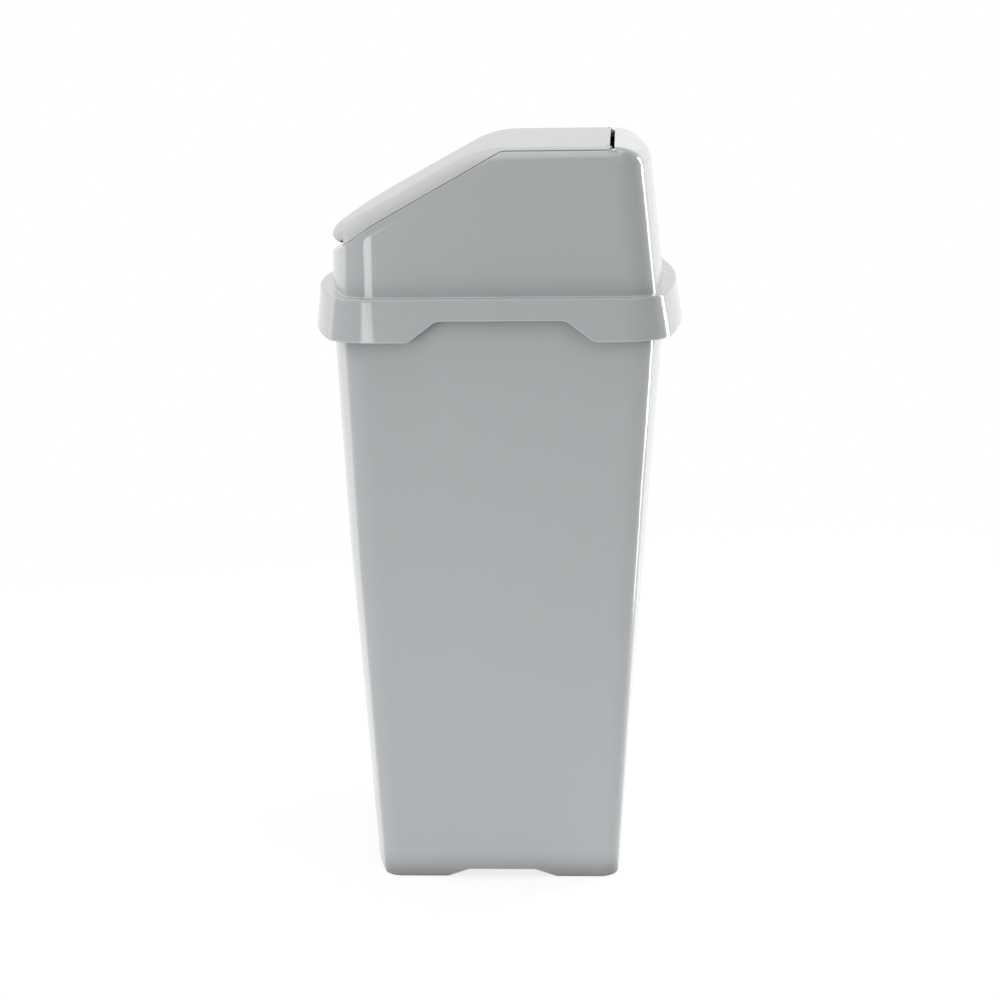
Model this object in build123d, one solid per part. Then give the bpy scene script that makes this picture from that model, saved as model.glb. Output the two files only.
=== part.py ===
from build123d import *
from math import atan, cos, sin
import os

# Lift-top trash can: a tapered bin, a hood that drops over its rim, and a hinged lid
# Millimetres. Front faces -Y, the long side of the plan runs along X, floor is Z = 0

# Overall size, taken at the lower edge of the hood's skirt
SKIRT_HALF_WIDTH = 195.0
SKIRT_FRONT = -164.6
SKIRT_REAR = 168.6
TOP_HEIGHT = 658.5
WALL = 2.2

# Heights, measured down from the top so that a taller can has a taller bin
SEAM_FLAT = TOP_HEIGHT - 2.5
LEDGE_TOP = TOP_HEIGHT - 125.5
BODY_TOP = LEDGE_TOP - 2.4
SKIRT_BOTTOM = LEDGE_TOP - 36.5
LOFT_TOP = TOP_HEIGHT + 20

# Skirt and ledge of the hood: bowed front and rear, rounded corners
SKIRT_FRONT_BOW = 34.5
SKIRT_REAR_BOW = 18.8
SKIRT_CORNER = 44.5
SKIRT_LEAN = 6.0
SKIRT_FRONT_LEAN = 3.4
SKIRT_REAR_LEAN = 5.4
LEDGE_THICK = 2.4
LEDGE_EDGE_RADIUS = 2.0

# Walls of the hood above the ledge
DOME_HALF_WIDTH = SKIRT_HALF_WIDTH - 17.5
DOME_FRONT = SKIRT_FRONT + 15.1
DOME_REAR = SKIRT_REAR - 16.9
DOME_FRONT_BOW = 29.5
DOME_REAR_BOW = 10.7
DOME_CORNER = 27.5
DOME_SIDE_LEAN = 0.085
DOME_REAR_LEAN = 0.100

# Side profile of the roof and of the seam beneath the lid
ROOF_BEND_Y = -9.0
ROOF_SLOPE = 0.545
ROOF_BEND_RADIUS = 90.0
REAR_BEND_RADIUS = 45.0
ROOF_EDGE_RADIUS = 16.0
REAR_DROP_Y = DOME_REAR - 37.7
REAR_DROP_END_Y = DOME_REAR - 14.7
REAR_DROP = 9.5
SEAM_BEND_Y = 11.5
SEAM_SLOPE = 0.552
SEAM_BEND_RADIUS = 14.0
SEAM_FRONT_Y = DOME_FRONT + 49.8
SEAM_FRONT_SLOPE = 0.69
SEAM_FRONT_RADIUS = 60.0
SEAM_GAP = 0.4
NOSE_RADIUS = 10.0
SILL_RADIUS = 12.0

# Hinge: a pin at each end, on the seam plane at the back edge of the lid
HINGE_Y = DOME_REAR - 47.7
PIN_RADIUS = 1.0
PIN_PLAY = 0.08
KNUCKLE_RADIUS = 2.0
KNUCKLE_LENGTH = 7.0
KNUCKLE_GAP = 0.5
PIN_HEAD_RADIUS = 1.7
PIN_HEAD_LENGTH = 1.2
PIN_HEAD_GAP = 0.2

# Mouth under the lid, and the slot that the lid's back edge swings through
MOUTH_HALF_WIDTH = DOME_HALF_WIDTH - 27.5
MOUTH_FRONT = DOME_FRONT + 23.0
MOUTH_CORNER = 14.0
LID_REAR_Y = HINGE_Y - 0.3
SLOT_REAR_Y = HINGE_Y + 3.8

# Bin body at the skirt's lower edge, at the crease halfway up, and at the floor
BODY_HALF_WIDTH = SKIRT_HALF_WIDTH - 15.5
BODY_FRONT = SKIRT_FRONT + 15.4
BODY_REAR = SKIRT_REAR - 17.0
BODY_FRONT_BOW = 28.5
BODY_REAR_BOW = 12.4
BODY_CORNER = 22.8
BODY_MID = 299.886
BODY_MID_HALF_WIDTH = BODY_HALF_WIDTH - 14.0
BODY_MID_FRONT = BODY_FRONT + 9.4
BODY_MID_REAR = BODY_REAR - 16.1
FOOT_HALF_WIDTH = BODY_HALF_WIDTH - 37.5
FOOT_FRONT = BODY_FRONT + 29.1
FOOT_REAR = BODY_REAR - 40.6
FOOT_FRONT_BOW = 19.3
FOOT_REAR_BOW = 3.4
FOOT_CORNER = 17.4
FOOT_EDGE_RADIUS = 2.0
FOOT_WALL = 4.5
FLOOR_TOP = 13.0
FLOOR_THICK = 2.6
RIM_LIP = 10.0
RIM_GAP = 0.8
PLUG_DEPTH = 9.0
PLUG_GAP = 1.2

# Hand notches in the two side skirts and arches in the two side feet
NOTCH_Y = 10.5
NOTCH_HALF_TOP = 55.0
NOTCH_HALF_BOTTOM = 79.5
NOTCH_HEIGHT = 18.0
ARCH_Y = 3.5
ARCH_HALF_TOP = 30.0
ARCH_HALF_BOTTOM = 51.0
ARCH_HEIGHT = 7.2

REACH = 260.0


def outline(half_width, front, rear, corner, z, front_bow, rear_bow):
    """Flat face at height z: straight sides, bowed front and rear, rounded corners."""
    front_chord = front + front_bow
    rear_chord = rear - rear_bow
    right = Line((half_width, front_chord), (half_width, rear_chord))
    back = ThreePointArc((half_width, rear_chord), (0, rear), (-half_width, rear_chord))
    left = Line((-half_width, rear_chord), (-half_width, front_chord))
    face = ThreePointArc((-half_width, front_chord), (0, front), (half_width, front_chord))
    flat = make_face([right, back, left, face])
    flat = fillet(flat.vertices(), corner)
    return Pos(0, 0, z) * flat


def side_prism(points, rounded=()):
    """Side-view polygon in Y and Z, swept across the whole width; some corners rounded."""
    flat = make_face(Polyline(*points, close=True))
    for y, z, radius in rounded:
        near = [v for v in flat.vertices() if abs(v.X - y) < 0.01 and abs(v.Y - z) < 0.01]
        flat = fillet(near, radius)
    frame = Plane(origin=(0, 0, 0), x_dir=(0, 1, 0), z_dir=(1, 0, 0))
    return extrude(frame * flat, REACH, both=True)


def seam_height(y):
    """Height of the sloping seam line at y."""
    return SEAM_FLAT - SEAM_SLOPE * (SEAM_BEND_Y - y)


def dome_walls(inset, low):
    """Leaning walls of the hood and lid, from low up past the roof, moved in by inset."""
    faces = []
    for z in (low, LOFT_TOP):
        rise = z - LEDGE_TOP
        faces.append(
            outline(
                DOME_HALF_WIDTH - DOME_SIDE_LEAN * rise - inset,
                DOME_FRONT + inset,
                DOME_REAR - DOME_REAR_LEAN * rise - inset,
                DOME_CORNER - inset,
                z,
                DOME_FRONT_BOW,
                DOME_REAR_BOW,
            )
        )
    return loft(faces, ruled=True)


def roof_prism(inset, low):
    """Everything under the roof line, which is lowered by inset."""
    slope_drop = inset * (1 + ROOF_SLOPE * ROOF_SLOPE) ** 0.5
    bend_y = ROOF_BEND_Y + (slope_drop - inset) / ROOF_SLOPE
    top = TOP_HEIGHT - inset
    start_y = -REACH
    start_z = top - ROOF_SLOPE * (bend_y - start_y)
    fall = REAR_DROP / (REAR_DROP_END_Y - REAR_DROP_Y)
    end_z = top - fall * (REACH - REAR_DROP_Y)
    points = [
        (start_y, start_z),
        (bend_y, top),
        (REAR_DROP_Y, top),
        (REACH, end_z),
        (REACH, low),
        (start_y, low),
    ]
    bends = [(bend_y, top, ROOF_BEND_RADIUS), (REAR_DROP_Y, top, REAR_BEND_RADIUS)]
    return side_prism(points, bends)


def dome(inset, low):
    """Closed form under the roof with its upper edges rounded, moved in by inset."""
    block = dome_walls(inset, low) & roof_prism(inset, low)
    roof = [f for f in block.faces() if f.normal_at().Z > 0.3]
    shared = []
    walls = [f for f in block.faces() if abs(f.normal_at().Z) <= 0.3]
    for face in roof:
        for edge in face.edges():
            middle = edge @ 0.5
            if any(w.distance_to(middle) < 0.001 for w in walls):
                shared.append(edge)
    return fillet(shared, ROOF_EDGE_RADIUS - inset)


def seam_prism(drop, low):
    """Everything under the seam surface, which is lowered by drop."""
    slope_drop = drop * (1 + SEAM_SLOPE * SEAM_SLOPE) ** 0.5
    bend_y = SEAM_BEND_Y + (slope_drop - drop) / SEAM_SLOPE
    flat = SEAM_FLAT - drop
    front_drop = drop * (1 + SEAM_FRONT_SLOPE * SEAM_FRONT_SLOPE) ** 0.5
    steeper = SEAM_FRONT_SLOPE - SEAM_SLOPE
    bend2_y = SEAM_FRONT_Y + (front_drop - slope_drop) / steeper
    bend2_z = seam_height(bend2_y) - slope_drop
    points = [
        (-REACH, bend2_z - SEAM_FRONT_SLOPE * (bend2_y + REACH)),
        (bend2_y, bend2_z),
        (bend_y, flat),
        (REACH, flat),
        (REACH, low),
        (-REACH, low),
    ]
    bends = [(bend2_y, bend2_z, SEAM_FRONT_RADIUS), (bend_y, flat, SEAM_BEND_RADIUS)]
    return side_prism(points, bends)


def slab(y0, y1, z0, z1, half=REACH):
    """Plain block across the width, from y0 to y1 and z0 to z1."""
    return Pos(0, (y0 + y1) / 2, (z0 + z1) / 2) * Box(2 * half, y1 - y0, z1 - z0)


def mirrored(shape):
    """The shape and its twin on the other side."""
    return [shape, shape.mirror(Plane.YZ)]


def bow_radius(half_width, bow):
    """Radius of the arc that rises by bow over the full width."""
    return (half_width**2 + bow**2) / (2 * bow)


def groove_ring(radius, inset, rise):
    """Ring along the seam that rounds the bowed front: rise is 1 above it and -1 below."""
    groove_y = DOME_FRONT + radius
    groove_z = seam_height(SEAM_FRONT_Y) - SEAM_FRONT_SLOPE * (SEAM_FRONT_Y - groove_y)
    half_width = DOME_HALF_WIDTH - DOME_SIDE_LEAN * (groove_z - LEDGE_TOP)
    bow = bow_radius(half_width, DOME_FRONT_BOW)
    tilt = atan(SEAM_FRONT_SLOPE)
    ring_radius = bow * cos(tilt) - radius
    centre = (0, groove_y + ring_radius * cos(tilt), groove_z + ring_radius * sin(tilt))
    front = DOME_FRONT + inset
    small = radius - inset
    start_z = groove_z + rise * inset
    end_z = groove_z + rise * radius
    far_z = groove_z - rise * 24
    arc = ThreePointArc(
        (front + small, start_z),
        (front + small * (1 - 0.5**0.5), end_z - rise * small * 0.5**0.5),
        (front, end_z),
    )
    rest = Polyline(
        (front, end_z),
        (front - 12, end_z),
        (front - 12, far_z),
        (front + small, far_z),
        (front + small, start_z),
    )
    flat = make_face([arc, rest])
    frame = Plane(origin=(0, 0, 0), x_dir=(0, 1, 0), z_dir=(1, 0, 0))
    ring = revolve(frame * flat, Axis(centre, (0, -sin(tilt), cos(tilt))), 360)
    # The groove ends where the bow meets the corner, so the corners stay whole
    end_x = (half_width - DOME_CORNER) * bow / (bow - DOME_CORNER) + inset
    return ring & slab(-REACH, 0, LEDGE_TOP, LOFT_TOP, end_x)


def lid_form(inset):
    """Closed form of the lid: between roof and seam, ahead of the slot, nose rounded."""
    block = dome(inset, LEDGE_TOP) - seam_prism(-inset, LEDGE_TOP - 30)
    block = block & slab(-REACH, LID_REAR_Y - inset, LEDGE_TOP, LOFT_TOP)
    return block - groove_ring(NOSE_RADIUS, inset, 1)


def hood_form(inset):
    """Closed form of the hood: up to the seam, or up to the roof behind the slot."""
    low = LEDGE_TOP - LEDGE_THICK
    rear = slab(SLOT_REAR_Y + inset, REACH, low - 5, LOFT_TOP)
    block = dome(inset, low) & (seam_prism(inset + SEAM_GAP, low - 30) + rear)
    return block - groove_ring(SILL_RADIUS, inset, -1)


def mouth_prism(low, high):
    """Upright prism of the opening under the lid, from its front up to the slot."""
    flat = outline(
        MOUTH_HALF_WIDTH,
        MOUTH_FRONT,
        SLOT_REAR_Y,
        MOUTH_CORNER,
        low,
        DOME_FRONT_BOW * (MOUTH_HALF_WIDTH / DOME_HALF_WIDTH) ** 2,
        0.5,
    )
    rear = slab(HINGE_Y - 20, SLOT_REAR_Y, low, high, MOUTH_HALF_WIDTH)
    return extrude(flat, high - low) + rear


def cross_rod(radius, x_in, x_out):
    """Round bar along X at the hinge line, on the right side."""
    bar = Cylinder(radius, x_out - x_in, rotation=(0, 90, 0))
    return Pos((x_in + x_out) / 2, HINGE_Y, SEAM_FLAT) * bar


def trapezoid(middle, half_top, half_low, height, z, radius):
    """Cutter along X with sloping ends, open downwards, all four bends rounded."""
    points = [
        (middle - half_low - 20, z - 10),
        (middle - half_low - 20, z),
        (middle - half_low, z),
        (middle - half_top, z + height),
        (middle + half_top, z + height),
        (middle + half_low, z),
        (middle + half_low + 20, z),
        (middle + half_low + 20, z - 10),
    ]
    bends = [(y, level, radius) for y, level in points[2:6]]
    return side_prism(points, bends)


def skirt_plan(inset, z):
    """Plan shape of the leaning skirt at height z, moved in by inset."""
    share = (z - SKIRT_BOTTOM) / (LEDGE_TOP - SKIRT_BOTTOM)
    return outline(
        SKIRT_HALF_WIDTH - SKIRT_LEAN * share - inset,
        SKIRT_FRONT + SKIRT_FRONT_LEAN * share + inset,
        SKIRT_REAR - SKIRT_REAR_LEAN * share - inset,
        SKIRT_CORNER - SKIRT_LEAN * share - inset,
        z,
        SKIRT_FRONT_BOW,
        SKIRT_REAR_BOW,
    )


def skirt_walls(inset, low, high):
    """Leaning walls of the hood's skirt, moved in by inset."""
    return loft([skirt_plan(inset, low), skirt_plan(inset, high)], ruled=True)


def body_plan(inset, z):
    """Plan shape of the tapering bin at height z, moved in by inset."""
    if z < BODY_MID:
        part = z / BODY_MID
        a = (FOOT_HALF_WIDTH, FOOT_FRONT, FOOT_REAR)
        b = (BODY_MID_HALF_WIDTH, BODY_MID_FRONT, BODY_MID_REAR)
    else:
        part = (z - BODY_MID) / (SKIRT_BOTTOM - BODY_MID)
        a = (BODY_MID_HALF_WIDTH, BODY_MID_FRONT, BODY_MID_REAR)
        b = (BODY_HALF_WIDTH, BODY_FRONT, BODY_REAR)
    half, front, rear = [p + (q - p) * part for p, q in zip(a, b)]
    share = z / SKIRT_BOTTOM
    return outline(
        half - inset,
        front + inset,
        rear - inset,
        FOOT_CORNER + (BODY_CORNER - FOOT_CORNER) * share - inset,
        z,
        FOOT_FRONT_BOW + (BODY_FRONT_BOW - FOOT_FRONT_BOW) * share,
        FOOT_REAR_BOW + (BODY_REAR_BOW - FOOT_REAR_BOW) * share,
    )


def body_walls(inset, low, high):
    """Tapering walls of the bin, moved in by inset, with a crease halfway up."""
    return loft([body_plan(inset, z) for z in (low, BODY_MID, high)], ruled=True)


# Bin body: tapered tub, floor held up on a foot skirt, rim folded out and down
body = body_walls(0, 0, BODY_TOP)
foot_edges = [e for e in body.edges() if e.bounding_box().max.Z < 0.01]
body = fillet(foot_edges, FOOT_EDGE_RADIUS)
rim_plan = Pos(0, 0, -RIM_LIP) * skirt_plan(WALL + RIM_GAP, BODY_TOP)
under_plan = Pos(0, 0, -RIM_LIP) * skirt_plan(2 * WALL + RIM_GAP, BODY_TOP)
body = body + (extrude(rim_plan, RIM_LIP) - extrude(under_plan, RIM_LIP - WALL))
body = body - (body_walls(WALL, 1, BODY_TOP + 1) & slab(-REACH, REACH, FLOOR_TOP, BODY_TOP + 1))
hollow = body_walls(FOOT_WALL, -1, BODY_TOP)
body = body - (hollow & slab(-REACH, REACH, -1, FLOOR_TOP - FLOOR_THICK))
body = body - trapezoid(ARCH_Y, ARCH_HALF_TOP, ARCH_HALF_BOTTOM, ARCH_HEIGHT, 0, 9)

# Hood: skirt, ledge, walls and the roof behind the slot, in one moulding
skirt = skirt_walls(0, SKIRT_BOTTOM, LEDGE_TOP)
ledge_edges = [e for e in skirt.edges() if e.bounding_box().min.Z > LEDGE_TOP - 0.01]
skirt = fillet(ledge_edges, LEDGE_EDGE_RADIUS)
skirt = skirt - skirt_walls(WALL, SKIRT_BOTTOM - 1, LEDGE_TOP - LEDGE_THICK)
skirt = skirt - trapezoid(
    NOTCH_Y, NOTCH_HALF_TOP, NOTCH_HALF_BOTTOM, NOTCH_HEIGHT, SKIRT_BOTTOM, 10
)
plug_low = BODY_TOP - PLUG_DEPTH
plug_plan = body_plan(WALL + PLUG_GAP, plug_low)
plug = extrude(plug_plan, PLUG_DEPTH + 0.5)
bore_plan = Pos(0, 0, -1) * body_plan(2 * WALL + PLUG_GAP, plug_low)
bore = extrude(bore_plan, PLUG_DEPTH + LEDGE_THICK + 2)
hood = skirt + hood_form(0) + plug
hood = hood - (hood_form(WALL) & slab(-REACH, REACH, LEDGE_TOP, LOFT_TOP)) - bore
hood = hood - mouth_prism(LEDGE_TOP, SEAM_FLAT + 10)
shoulder = slab(SLOT_REAR_Y, SLOT_REAR_Y + WALL, SEAM_FLAT - 8, SEAM_FLAT, MOUTH_HALF_WIDTH + 2)
hood = hood + shoulder
wall_line = DOME_HALF_WIDTH - DOME_SIDE_LEAN * (SEAM_FLAT - LEDGE_TOP) - 4
hood_knuckle_out = MOUTH_HALF_WIDTH
hood_knuckle_in = hood_knuckle_out - KNUCKLE_LENGTH
lid_knuckle_out = hood_knuckle_in - KNUCKLE_GAP
lid_knuckle_in = lid_knuckle_out - KNUCKLE_LENGTH
knuckle = cross_rod(KNUCKLE_RADIUS, hood_knuckle_in, hood_knuckle_out)
web_length = SLOT_REAR_Y + WALL - HINGE_Y
web = Box(wall_line - hood_knuckle_in, web_length + KNUCKLE_RADIUS, 6)
web_x = (wall_line + hood_knuckle_in) / 2
web_y = (HINGE_Y - KNUCKLE_RADIUS + SLOT_REAR_Y + WALL) / 2
web = Pos(web_x, web_y, SEAM_FLAT - 3) * web
pin_hole = cross_rod(PIN_RADIUS, hood_knuckle_in - 1, hood_knuckle_out + 0.02)
for side in mirrored(web + knuckle):
    hood = hood + side
for side in mirrored(pin_hole):
    hood = hood - side

# Lid: a shell open below, with a knuckle at each end of its back edge
inner = lid_form(WALL)
open_low = dome(WALL, LEDGE_TOP) & seam_prism(-WALL - 1, LEDGE_TOP - 30)
lip_front = DOME_FRONT + NOSE_RADIUS + 2
open_low = open_low & slab(lip_front, LID_REAR_Y - WALL, LEDGE_TOP, LOFT_TOP)
lid = lid_form(0) - inner - open_low
lid_knuckle = cross_rod(KNUCKLE_RADIUS, lid_knuckle_in, lid_knuckle_out)
lid_bore = cross_rod(PIN_RADIUS + PIN_PLAY, lid_knuckle_in - 5, lid_knuckle_out + 5)
room_depth = 2 * KNUCKLE_RADIUS + 2
for x_in, x_out in (
    (lid_knuckle_in - 3, lid_knuckle_in),
    (lid_knuckle_out, hood_knuckle_out + 1),
):
    room = Box(x_out - x_in, room_depth, 20)
    room_y = HINGE_Y - KNUCKLE_RADIUS - 0.6 + room_depth / 2
    for side in mirrored(Pos((x_in + x_out) / 2, room_y, SEAM_FLAT) * room):
        lid = lid - side
for side in mirrored(lid_knuckle):
    lid = lid + side
for side in mirrored(lid_bore):
    lid = lid - side

# Hinge pins: headed, pushed outwards through the lid's knuckle into the hood's
head_out = lid_knuckle_in - PIN_HEAD_GAP
head = cross_rod(PIN_HEAD_RADIUS, head_out - PIN_HEAD_LENGTH, head_out)
shank = cross_rod(PIN_RADIUS, head_out - PIN_HEAD_LENGTH, hood_knuckle_out)
pin = head + shank

os.makedirs("parts", exist_ok=True)
pieces = {
    "bin_body": body,
    "hood": hood,
    "lid": lid,
    "hinge_pin_right": pin,
    "hinge_pin_left": pin.mirror(Plane.YZ),
}
for name, shape in pieces.items():
    export_step(shape, f"parts/{name}.step")
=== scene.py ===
# %% [markdown]
# # A lift-top trash can in moulded plastic
# The can is three mouldings: a tapered bin, a hood that drops over its rim, and a lid
# that swings up on two small steel pins. The measured model of all five pieces is the
# frame of this scene, so nothing here chooses a size: this file gives the pieces their
# surfaces, their light and a camera.

# %% Load the measured frame
import math

import bpy
import numpy as np
from mathutils import Matrix, Vector

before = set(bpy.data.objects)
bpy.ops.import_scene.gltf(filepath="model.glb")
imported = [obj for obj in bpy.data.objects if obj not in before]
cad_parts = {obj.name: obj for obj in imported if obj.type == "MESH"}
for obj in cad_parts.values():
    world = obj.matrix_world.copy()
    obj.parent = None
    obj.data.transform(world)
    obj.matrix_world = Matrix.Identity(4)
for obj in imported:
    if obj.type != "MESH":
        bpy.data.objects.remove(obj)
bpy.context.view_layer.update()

print("nodes", sorted(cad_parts))

# %% [markdown]
# ## Shared effects for the plastic
# Injection-moulded polypropylene is not a flat colour. The pigment swirls a little where
# the melt flowed, the gloss is duller where hands and cloths have rubbed it, the skin has
# a faint orange peel that softens reflections, and a few hair-thin scratches catch the
# light. Each effect is a node group that works on object coordinates in metres and only
# puts out values, so that each material can use it in its own strength.

# %% Small helpers to build node groups


def new_group(name, inputs, outputs):
    """Empty shader node group with the named float inputs and typed outputs."""
    group = bpy.data.node_groups.new(name, "ShaderNodeTree")
    for label, kind, default in inputs:
        socket = group.interface.new_socket(label, in_out="INPUT", socket_type=kind)
        if default is not None:
            socket.default_value = default
    for label, kind in outputs:
        group.interface.new_socket(label, in_out="OUTPUT", socket_type=kind)
    inside = group.nodes.new("NodeGroupInput")
    outside = group.nodes.new("NodeGroupOutput")
    return group, inside, outside


def add_node(tree, kind, **settings):
    """Node of that kind, with attributes or input defaults set by name."""
    node = tree.nodes.new(kind)
    for key, value in settings.items():
        if hasattr(node, key):
            setattr(node, key, value)
        else:
            node.inputs[key.replace("_", " ")].default_value = value
    return node


def remap(tree, source, low_in, high_in, low_out, high_out):
    """Map Range node that turns one span of values into another, with the ends held."""
    node = tree.nodes.new("ShaderNodeMapRange")
    node.clamp = True
    for label, value in (
        ("From Min", low_in),
        ("From Max", high_in),
        ("To Min", low_out),
        ("To Max", high_out),
    ):
        node.inputs[label].default_value = value
    tree.links.new(source, node.inputs["Value"])
    return node.outputs["Result"]


def arithmetic(tree, operation, a, b):
    """Math node on two values, each a socket or a number."""
    node = tree.nodes.new("ShaderNodeMath")
    node.operation = operation
    for index, value in enumerate((a, b)):
        if isinstance(value, (int, float)):
            node.inputs[index].default_value = value
        else:
            tree.links.new(value, node.inputs[index])
    return node.outputs["Value"]


def colour_mix(tree, factor, a, b):
    """Colour from a to b as factor goes from 0 to 1; a and b are colours or sockets."""
    node = tree.nodes.new("ShaderNodeMix")
    node.data_type = "RGBA"
    tree.links.new(factor, node.inputs["Factor"])
    for label, value in (("A", a), ("B", b)):
        if isinstance(value, tuple):
            node.inputs[label].default_value = (*value, 1)
        else:
            tree.links.new(value, node.inputs[label])
    return node.outputs["Result"]


FLOAT, VECTOR = "NodeSocketFloat", "NodeSocketVector"

# %% [markdown]
# The skin's height is the sum of a fine orange peel and a slow waviness, such as a wall
# gets as it cools. It goes into a Bump node in each material.

# %% Moulded skin: height of orange peel and slow waviness
skin_group, skin_in, skin_out = new_group(
    "moulded_skin",
    [("Vector", VECTOR, None), ("Peel Scale", FLOAT, 900.0), ("Wave Share", FLOAT, 0.7)],
    [("Height", FLOAT)],
)
peel = add_node(skin_group, "ShaderNodeTexNoise", Detail=2.0, Roughness=0.55)
waves = add_node(skin_group, "ShaderNodeTexNoise", Scale=14.0, Detail=1.0, Roughness=0.4)
for node in (peel, waves):
    skin_group.links.new(skin_in.outputs["Vector"], node.inputs["Vector"])
skin_group.links.new(skin_in.outputs["Peel Scale"], peel.inputs["Scale"])
slow = arithmetic(skin_group, "MULTIPLY", waves.outputs["Fac"], skin_in.outputs["Wave Share"])
skin_group.links.new(
    arithmetic(skin_group, "ADD", peel.outputs["Fac"], slow), skin_out.inputs["Height"]
)
print("group", skin_group.name)

# %% [markdown]
# Wear puts out two masks: one for cloudy, duller patches, and one for thin scratches. A
# scratch is the edge of a stretched Voronoi cell, kept only where a noise says so, which
# leaves short separate lines in place of a net.

# %% Handling wear: dull patches and hair scratches
wear_group, wear_in, wear_out = new_group(
    "handling_wear",
    [("Vector", VECTOR, None), ("Scratch Density", FLOAT, 0.5)],
    [("Dull", FLOAT), ("Scratch", FLOAT)],
)
patches = add_node(wear_group, "ShaderNodeTexNoise", Scale=9.0, Detail=5.0, Roughness=0.62)
wear_group.links.new(wear_in.outputs["Vector"], patches.inputs["Vector"])
wear_group.links.new(
    remap(wear_group, patches.outputs["Fac"], 0.42, 0.72, 0.0, 1.0), wear_out.inputs["Dull"]
)
turn = add_node(wear_group, "ShaderNodeMapping")
turn.inputs["Rotation"].default_value = (0.5, 0.9, 0.3)
turn.inputs["Scale"].default_value = (1.0, 7.0, 1.6)
wear_group.links.new(wear_in.outputs["Vector"], turn.inputs["Vector"])
lines = add_node(wear_group, "ShaderNodeTexVoronoi", feature="DISTANCE_TO_EDGE", Scale=16.0)
wear_group.links.new(turn.outputs["Vector"], lines.inputs["Vector"])
thin = remap(wear_group, lines.outputs["Distance"], 0.0, 0.006, 1.0, 0.0)
keep = add_node(wear_group, "ShaderNodeTexNoise", Scale=31.0, Detail=1.0)
wear_group.links.new(wear_in.outputs["Vector"], keep.inputs["Vector"])
kept = arithmetic(wear_group, "SUBTRACT", keep.outputs["Fac"], 0.62)
kept = remap(wear_group, kept, 0.0, 0.05, 0.0, 1.0)
short = arithmetic(wear_group, "MULTIPLY", thin, kept)
wear_group.links.new(
    arithmetic(wear_group, "MULTIPLY", short, wear_in.outputs["Scratch Density"]),
    wear_out.inputs["Scratch"],
)
print("group", wear_group.name)

# %% [markdown]
# The pigment's swirl is a slow noise, warped a little and stretched upwards, the way the
# melt ran up the walls from a gate in the floor. It puts out a value around one half.

# %% Pigment flow: slow change of colour in the wall
flow_group, flow_in, flow_out = new_group(
    "pigment_flow", [("Vector", VECTOR, None)], [("Flow", FLOAT)]
)
stretch = add_node(flow_group, "ShaderNodeMapping")
stretch.inputs["Scale"].default_value = (1.0, 1.0, 0.35)
flow_group.links.new(flow_in.outputs["Vector"], stretch.inputs["Vector"])
swirl = add_node(
    flow_group, "ShaderNodeTexNoise", Scale=7.0, Detail=4.0, Roughness=0.5, Distortion=0.8
)
flow_group.links.new(stretch.outputs["Vector"], swirl.inputs["Vector"])
flow_group.links.new(swirl.outputs["Fac"], flow_out.inputs["Flow"])
print("group", flow_group.name)

# %% [markdown]
# Just below the seam the hood's wall leans in a little more, in a band 7 mm high that
# follows the seam and fades out towards the slot. It is a relief of less than a
# millimetre: its height is zero at the band's lower edge and falls by 13 hundredths of the
# distance above that edge. The distance is measured at right angles to the seam, which is
# flat at the back and slopes down by 0.552 ahead of y = 0.0115.

# %% Seam band: relief of the hood's upper edge, in metres
SEAM_Z, SEAM_BEND_Y, SEAM_SLOPE = 0.656, 0.0115, 0.552
BAND, BAND_LEAN, SLOT_Y = 0.007, 0.13, 0.1076
BAND_SOFT = 0.0025
band_group, band_in, band_out = new_group(
    "seam_band", [("Vector", VECTOR, None)], [("Height", FLOAT)]
)
axes = band_group.nodes.new("ShaderNodeSeparateXYZ")
band_group.links.new(band_in.outputs["Vector"], axes.inputs[0])
under_flat = arithmetic(band_group, "SUBTRACT", SEAM_Z, axes.outputs["Z"])
past_bend = arithmetic(band_group, "SUBTRACT", axes.outputs["Y"], SEAM_BEND_Y)
drop = arithmetic(band_group, "MULTIPLY", past_bend, SEAM_SLOPE)
under_slope = arithmetic(band_group, "ADD", under_flat, drop)
shrink = 1 / math.sqrt(1 + SEAM_SLOPE**2)
under_slope = arithmetic(band_group, "MULTIPLY", under_slope, shrink)
under = arithmetic(band_group, "MINIMUM", under_flat, under_slope)
above_edge = arithmetic(band_group, "SUBTRACT", BAND, under)
soft = add_node(band_group, "ShaderNodeMath", operation="SMOOTH_MAX")
band_group.links.new(above_edge, soft.inputs[0])
soft.inputs[1].default_value = 0.0
soft.inputs[2].default_value = BAND_SOFT
fade = remap(band_group, axes.outputs["Y"], SEAM_BEND_Y, SLOT_Y, -BAND_LEAN, 0.0)
band_group.links.new(
    arithmetic(band_group, "MULTIPLY", soft.outputs[0], fade), band_out.inputs["Height"]
)
print("group", band_group.name)

# %% [markdown]
# ## The grey plastic
# The bin and the hood are a cool grey with a clear gloss. The lid's grey is painted a
# little paler, as painted light for the stronger light it gets from above, and its finish
# is duller. A Bevel node rounds the look of every sharp edge by 1.8 mm, and where it
# turns the normal most a paler grey is painted on as a highlight, which draws the thin
# light lines along the skirt and the notch. On the bin an occlusion node paints shade into
# the colour close under the skirt and near the floor. The Principled shader stays in the
# material, with its fixed numbers on its own sockets. The groups change only its colour,
# roughness and normal.

# %% Grey gloss plastic
GREY = (0.459, 0.475, 0.484)
# Painted light: the lid's grey is painted paler to stand in for the stronger light from above.
LID_GREY_PAINTED_LIGHTER = (0.570, 0.575, 0.577)
SCUFF_GREY = (0.62, 0.63, 0.64)
# Painted highlight: the paler grey laid along rounded edges for their thin light lines.
EDGE_HIGHLIGHT_GREY = (0.74, 0.75, 0.76)
# Painted shade: the dark grey laid in where occlusion finds other surfaces close.
SHADE_GREY = (0.10, 0.10, 0.105)
EDGE_RADIUS = 0.0018
SKIN_DEPTH = 0.0004


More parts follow.
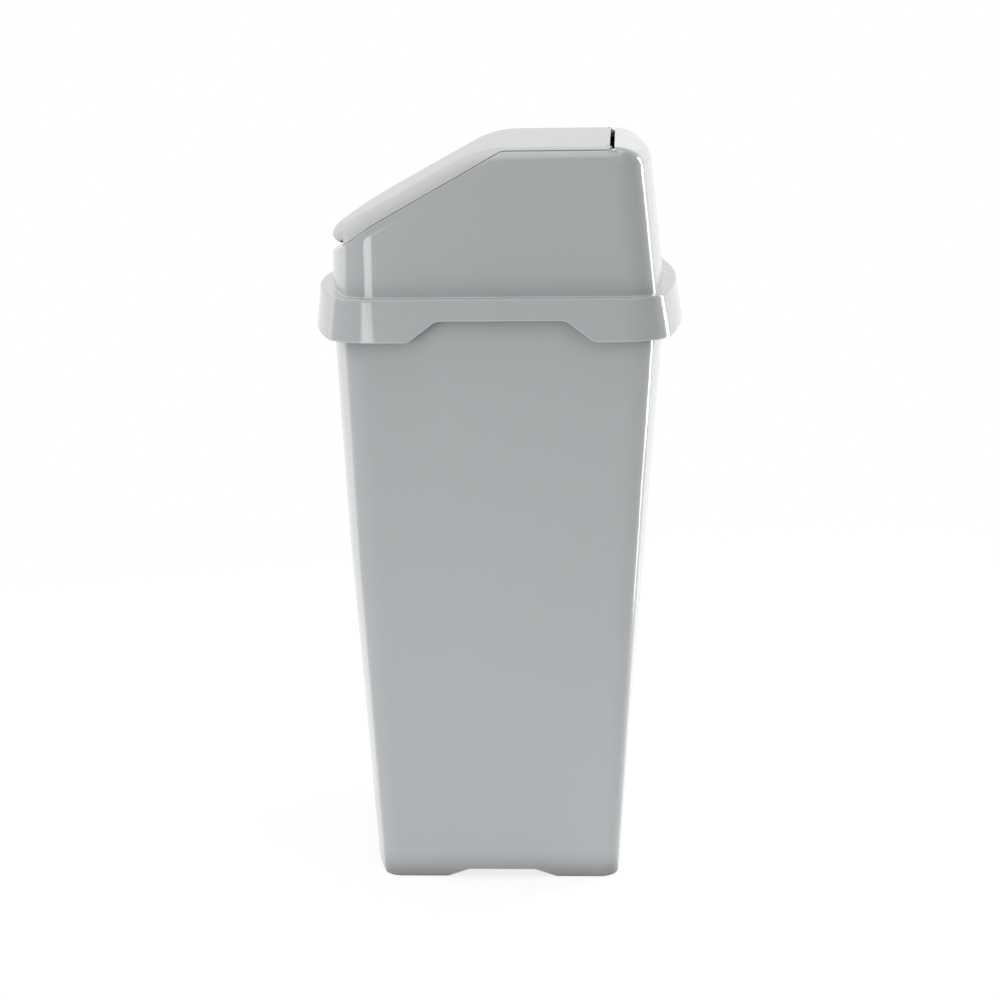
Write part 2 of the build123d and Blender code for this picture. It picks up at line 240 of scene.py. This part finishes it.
def grey_plastic(name, grey, gloss, bump, scratch, banded=False, painted_shade_reach=0.0):
    """Glossy grey polypropylene with pigment flow, dull patches, fine scratches and painted
    edge highlights, and with painted shade where a shade reach is given.
    """
    material = bpy.data.materials.new(name)
    material.use_nodes = True
    tree = material.node_tree
    shader = tree.nodes["Principled BSDF"]
    shader.inputs["IOR"].default_value = 1.49
    place = tree.nodes.new("ShaderNodeTexCoord").outputs["Object"]
    flow = add_node(tree, "ShaderNodeGroup", node_tree=flow_group)
    wear = add_node(tree, "ShaderNodeGroup", node_tree=wear_group)
    skin = add_node(tree, "ShaderNodeGroup", node_tree=skin_group)
    for node in (flow, wear, skin):
        tree.links.new(place, node.inputs["Vector"])
    wear.inputs["Scratch Density"].default_value = scratch

    # Roughness: dull patches and scratches
    cloudy = remap(tree, wear.outputs["Dull"], 0.0, 1.0, gloss, gloss + 0.04)
    rough = arithmetic(tree, "MULTIPLY", wear.outputs["Scratch"], 0.3)
    tree.links.new(arithmetic(tree, "ADD", cloudy, rough), shader.inputs["Roughness"])

    # Normal: rounded edges, then the seam band, then the skin
    rounded = add_node(tree, "ShaderNodeBevel", samples=6, Radius=EDGE_RADIUS)
    under = rounded.outputs["Normal"]
    if banded:
        band = add_node(tree, "ShaderNodeGroup", node_tree=band_group)
        tree.links.new(place, band.inputs["Vector"])
        lean = add_node(tree, "ShaderNodeBump", Strength=1.0, Distance=1.0)
        tree.links.new(band.outputs["Height"], lean.inputs["Height"])
        tree.links.new(under, lean.inputs["Normal"])
        under = lean.outputs["Normal"]
    relief = add_node(tree, "ShaderNodeBump", Strength=bump, Distance=SKIN_DEPTH)
    tree.links.new(skin.outputs["Height"], relief.inputs["Height"])
    tree.links.new(under, relief.inputs["Normal"])
    tree.links.new(relief.outputs["Normal"], shader.inputs["Normal"])

    # Colour: pigment, scratches, painted edge highlights, and painted shade near other surfaces
    darker = tuple(c * 0.975 for c in grey)
    lighter = tuple(c * 1.025 for c in grey)
    paint = colour_mix(tree, flow.outputs["Flow"], darker, lighter)
    scuffed = arithmetic(tree, "MULTIPLY", wear.outputs["Scratch"], 0.35)
    paint = colour_mix(tree, scuffed, paint, SCUFF_GREY)
    # Painted highlight: where the Bevel turns the normal most, the colour is painted paler.
    flat = tree.nodes.new("ShaderNodeNewGeometry").outputs["Normal"]
    turned = add_node(tree, "ShaderNodeVectorMath", operation="DOT_PRODUCT")
    tree.links.new(rounded.outputs["Normal"], turned.inputs[0])
    tree.links.new(flat, turned.inputs[1])
    painted_edge_highlight = remap(tree, turned.outputs["Value"], 0.94, 0.995, 0.9, 0.0)
    paint = colour_mix(tree, painted_edge_highlight, paint, EDGE_HIGHLIGHT_GREY)
    # Painted shade: occlusion darkens the colour close under the skirt and near the floor.
    if painted_shade_reach:
        near = add_node(tree, "ShaderNodeAmbientOcclusion", samples=8, Distance=painted_shade_reach)
        clear = remap(tree, near.outputs["AO"], 0.2, 0.97, 0.0, 1.0)
        paint = colour_mix(tree, clear, SHADE_GREY, paint)
    tree.links.new(paint, shader.inputs["Base Color"])
    return material


wall_plastic = grey_plastic("grey_wall_plastic", GREY, 0.11, 0.06, 0.5, painted_shade_reach=0.024)
hood_plastic = grey_plastic("grey_hood_plastic", GREY, 0.10, 0.06, 0.5, banded=True)
# Painted light: the lid's paler grey stands in for the stronger light it gets from above.
lid_plastic = grey_plastic("grey_lid_plastic", LID_GREY_PAINTED_LIGHTER, 0.38, 0.10, 0.6)
print("plastic", wall_plastic.name, hood_plastic.name, lid_plastic.name)

# %% [markdown]
# ## The steel of the hinge pins
# A pin is drawn wire with a headed end: bright metal with fine rings around its axis,
# which is X. The rings are a wave texture along X, warped a little.

# %% Drawn steel
pin_steel = bpy.data.materials.new("drawn_pin_steel")
pin_steel.use_nodes = True
steel_tree = pin_steel.node_tree
steel = steel_tree.nodes["Principled BSDF"]
steel.inputs["Metallic"].default_value = 1.0
steel_place = steel_tree.nodes.new("ShaderNodeTexCoord").outputs["Object"]
rings = add_node(steel_tree, "ShaderNodeTexWave", Scale=420.0, Distortion=1.5, Detail=2.0)
steel_tree.links.new(steel_place, rings.inputs["Vector"])
steel_tone = colour_mix(
    steel_tree, rings.outputs["Fac"], (0.52, 0.53, 0.55), (0.66, 0.67, 0.68)
)
steel_tree.links.new(steel_tone, steel.inputs["Base Color"])
steel_tree.links.new(
    remap(steel_tree, rings.outputs["Fac"], 0.0, 1.0, 0.22, 0.38), steel.inputs["Roughness"]
)
print("steel", pin_steel.name)

# %% [markdown]
# ## Give each moulding its finish
# The frame's meshes already have the right shapes, so they stay, and only their material
# slots change.

# %% Finishes on the frame's pieces


def finish_node(node, material):
    """Puts the material in every slot of a frame node."""
    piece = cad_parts[node]
    piece.data.materials.clear()
    piece.data.materials.append(material)
    print(node, "has", material.name, "on", len(piece.data.polygons), "triangles")


finish_node("bin_body", wall_plastic)
finish_node("hood", hood_plastic)
finish_node("lid", lid_plastic)
finish_node("hinge_pin_left", pin_steel)
finish_node("hinge_pin_right", pin_steel)

# %% [markdown]
# ## The floor
# A large pale floor carries the soft shadow. Seen straight by the camera, part of its
# white is given out by the surface itself, so that it meets the white background without
# a line. Shiny plastic sees the same white in its reflections. Near the can the floor is
# lit brightly, and throws light back up, most of all onto the lower part of the bin.

# %% Floor
FLOOR_HALF = 6.0
SHADOW_REACH = 0.6
FLOOR_FILL = 0.56
FILL_NEAR, FILL_FAR = 0.8, 2.4
floor_mesh = bpy.data.meshes.new("floor")
corners = [(-FLOOR_HALF, -FLOOR_HALF, 0), (FLOOR_HALF, -FLOOR_HALF, 0)]
corners += [(FLOOR_HALF, FLOOR_HALF, 0), (-FLOOR_HALF, FLOOR_HALF, 0)]
floor_mesh.from_pydata([Vector(c) for c in corners], [], [(0, 1, 2, 3)])
floor = bpy.data.objects.new("floor", floor_mesh)
bpy.context.scene.collection.objects.link(floor)


def seen_directly(tree):
    """One where a ray comes from the camera, a mirror-like surface or clear plastic."""
    path = tree.nodes.new("ShaderNodeLightPath")
    seen = arithmetic(tree, "ADD", path.outputs["Is Camera Ray"], path.outputs["Is Glossy Ray"])
    seen = arithmetic(tree, "ADD", seen, path.outputs["Is Transmission Ray"])
    return arithmetic(tree, "MINIMUM", seen, 1.0)


floor_material = bpy.data.materials.new("pale_floor")
floor_mesh.materials.append(floor_material)
floor_material.use_nodes = True
floor_tree = floor_material.node_tree
floor_tree.nodes.remove(floor_tree.nodes["Principled BSDF"])
bounce = add_node(floor_tree, "ShaderNodeBsdfDiffuse", Color=(0.82, 0.82, 0.82, 1))
matte = add_node(floor_tree, "ShaderNodeBsdfDiffuse", Color=(0.30, 0.30, 0.30, 1))
glow = add_node(floor_tree, "ShaderNodeEmission", Color=(1, 1, 1, 1), Strength=0.80)
white = add_node(floor_tree, "ShaderNodeEmission", Color=(1, 1, 1, 1), Strength=1.0)
lit = floor_tree.nodes.new("ShaderNodeAddShader")
floor_tree.links.new(matte.outputs[0], lit.inputs[0])
floor_tree.links.new(glow.outputs[0], lit.inputs[1])
floor_place = floor_tree.nodes.new("ShaderNodeTexCoord").outputs["Object"]
reach = add_node(floor_tree, "ShaderNodeVectorMath", operation="LENGTH")
floor_tree.links.new(floor_place, reach.inputs[0])
far = remap(floor_tree, reach.outputs["Value"], SHADOW_REACH, 2.5 * SHADOW_REACH, 0.0, 1.0)
shown = floor_tree.nodes.new("ShaderNodeMixShader")
floor_tree.links.new(far, shown.inputs[0])
floor_tree.links.new(lit.outputs[0], shown.inputs[1])
floor_tree.links.new(white.outputs[0], shown.inputs[2])
fill = add_node(floor_tree, "ShaderNodeEmission", Color=(1, 1, 1, 1))
spread = remap(floor_tree, reach.outputs["Value"], FILL_NEAR, FILL_FAR, FLOOR_FILL, 0.0)
floor_tree.links.new(spread, fill.inputs["Strength"])
bright = floor_tree.nodes.new("ShaderNodeAddShader")
floor_tree.links.new(bounce.outputs[0], bright.inputs[0])
floor_tree.links.new(fill.outputs[0], bright.inputs[1])
choose = floor_tree.nodes.new("ShaderNodeMixShader")
floor_tree.links.new(seen_directly(floor_tree), choose.inputs[0])
floor_tree.links.new(bright.outputs[0], choose.inputs[1])
floor_tree.links.new(shown.outputs[0], choose.inputs[2])
floor_tree.links.new(choose.outputs[0], floor_tree.nodes["Material Output"].inputs["Surface"])
print("floor", FLOOR_HALF * 2, "m wide")

# %% [markdown]
# ## Light
# The surroundings are a soft even white. A broad softbox above and one ahead of the can,
# together with the lid's painted lighter grey, make the lid the lightest surface, a third
# shines from high on the camera's side, and a weak fill lightens the nose. A window beside
# the camera and two upright strips behind the can draw the bright lines down the rounded
# corners, with a broad box behind them.
# The boxes are placed for the camera below. From some other sides the lid's flat top, or
# the left walls of hood and bin, mirror a box behind the can and turn white.

# %% World
world = bpy.data.worlds.new("soft_white")
bpy.context.scene.world = world
world.use_nodes = True
sky_tree = world.node_tree
ambient = sky_tree.nodes["Background"]
ambient.inputs["Color"].default_value = (0.97, 0.985, 1.0, 1)
ambient.inputs["Strength"].default_value = 0.17
backdrop = add_node(sky_tree, "ShaderNodeBackground", Color=(1, 1, 1, 1), Strength=1.0)
sky_mix = sky_tree.nodes.new("ShaderNodeMixShader")
sky_tree.links.new(seen_directly(sky_tree), sky_mix.inputs[0])
sky_tree.links.new(ambient.outputs[0], sky_mix.inputs[1])
sky_tree.links.new(backdrop.outputs[0], sky_mix.inputs[2])
sky_tree.links.new(sky_mix.outputs[0], sky_tree.nodes["World Output"].inputs["Surface"])
print("world strength", ambient.inputs["Strength"].default_value)

# %% Softboxes


def softbox(name, place, target, width, height, brightness):
    """Area lamp at place that faces target; brightness is its radiance."""
    lamp = bpy.data.lights.new(name, "AREA")
    lamp.shape = "RECTANGLE"
    lamp.size, lamp.size_y = width, height
    lamp.energy = brightness * math.pi * width * height
    box = bpy.data.objects.new(name, lamp)
    box.location = place
    box.rotation_mode = "QUATERNION"
    aim = Vector(target) - Vector(place)
    box.rotation_quaternion = aim.to_track_quat("-Z", "Y")
    bpy.context.scene.collection.objects.link(box)
    print(name, "power", round(lamp.energy, 1))
    return box


softbox("top_softbox", (0.1, 0.0, 2.2), (0, 0, 0.4), 1.8, 1.8, 1.8)
softbox("front_softbox", (0.1, -1.7, 1.75), (0, -0.1, 0.6), 1.5, 1.0, 2.6)
softbox("side_softbox", (1.7, 1.3, 1.9), (0.1, 0.1, 0.4), 0.8, 0.8, 1.4)
softbox("nose_fill", (-1.2, -1.6, 0.8), (0, -0.15, 0.6), 0.9, 0.9, 0.6)
softbox("front_window", (2.6, -0.99, 0.73), (0.16, -0.12, 0.55), 1.15, 0.65, 6.3)
softbox("rear_strip", (-0.98, 1.25, 0.6), (0.15, 0.13, 0.35), 0.24, 1.3, 15.0)
softbox("low_rear_strip", (-0.3, 0.72, 0.23), (0.14, 0.12, 0.23), 0.10, 0.46, 9.0)
softbox("rear_softbox", (-1.5, 1.7, 0.9), (0.0, 0.15, 0.45), 1.0, 1.4, 1.5)

# %% [markdown]
# ## Camera
# The camera stands level with the top of the can, at its side, and looks slightly down.
# A 90 mm lens on a 36 mm sensor gives the gentle perspective of a product photograph. The
# four columns of its matrix are right, up, back and place.

# %% Camera
CAMERA_PLACE = (2.30005, 0.11366, 0.78862)
LOOK = (-0.97874, -0.04893, -0.19916)
RIGHT = (-0.04732, 0.99880, -0.01284)
UP = (-0.19955, 0.00314, 0.97988)

camera_data = bpy.data.cameras.new("camera")
camera_data.lens = 90.0
camera_data.sensor_width = 36.0
camera = bpy.data.objects.new("camera", camera_data)
bpy.context.scene.collection.objects.link(camera)
columns = (RIGHT, UP, tuple(-v for v in LOOK), CAMERA_PLACE)
camera.matrix_world = Matrix([[c[row] for c in columns] for row in range(3)] + [[0, 0, 0, 1]])
bpy.context.scene.camera = camera
print("camera at", CAMERA_PLACE)

# %% [markdown]
# ## View
# The Standard view keeps the colours as they were written.

# %% View
bpy.context.scene.view_settings.view_transform = "Standard"
